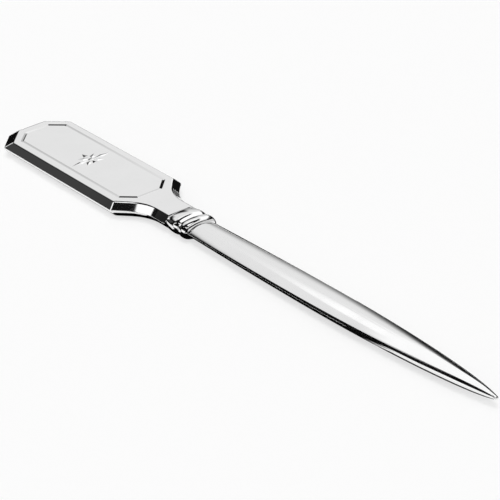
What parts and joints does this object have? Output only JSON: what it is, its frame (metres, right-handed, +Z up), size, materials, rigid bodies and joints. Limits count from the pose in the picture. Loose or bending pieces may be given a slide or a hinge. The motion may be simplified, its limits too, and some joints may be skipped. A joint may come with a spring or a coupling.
{
  "type": "letter opener",
  "caption": "Plated letter opener with a bevelled eight-sided hollow handle, a ringed collar and a long oval blade tapering to a rounded tip.",
  "frame": {"origin": "on the surface the opener lies on, under the middle of its length and width", "axes": "+X from the butt of the handle to the tip of the blade, +Y across the handle, +Z up through the engraved face"},
  "size_m": [0.22, 0.0238, 0.0052],
  "materials": {
    "plated_handle": "mirror-polished silver plate on struck sheet",
    "plated_collar": "mirror-polished silver plate on cast rings",
    "polished_blade": "polished and plated steel, a little softer than the handle",
    "filling_resin": "cast resin, hidden inside the handle"
  },
  "bodies": {
    "root": {"handle_upper_shell": "plated_handle", "handle_lower_shell": "plated_handle", "handle_filling": "filling_resin", "rear_collar_ring": "plated_collar", "front_collar_ring": "plated_collar", "blade": "polished_blade"}
  },
  "joints": []
}
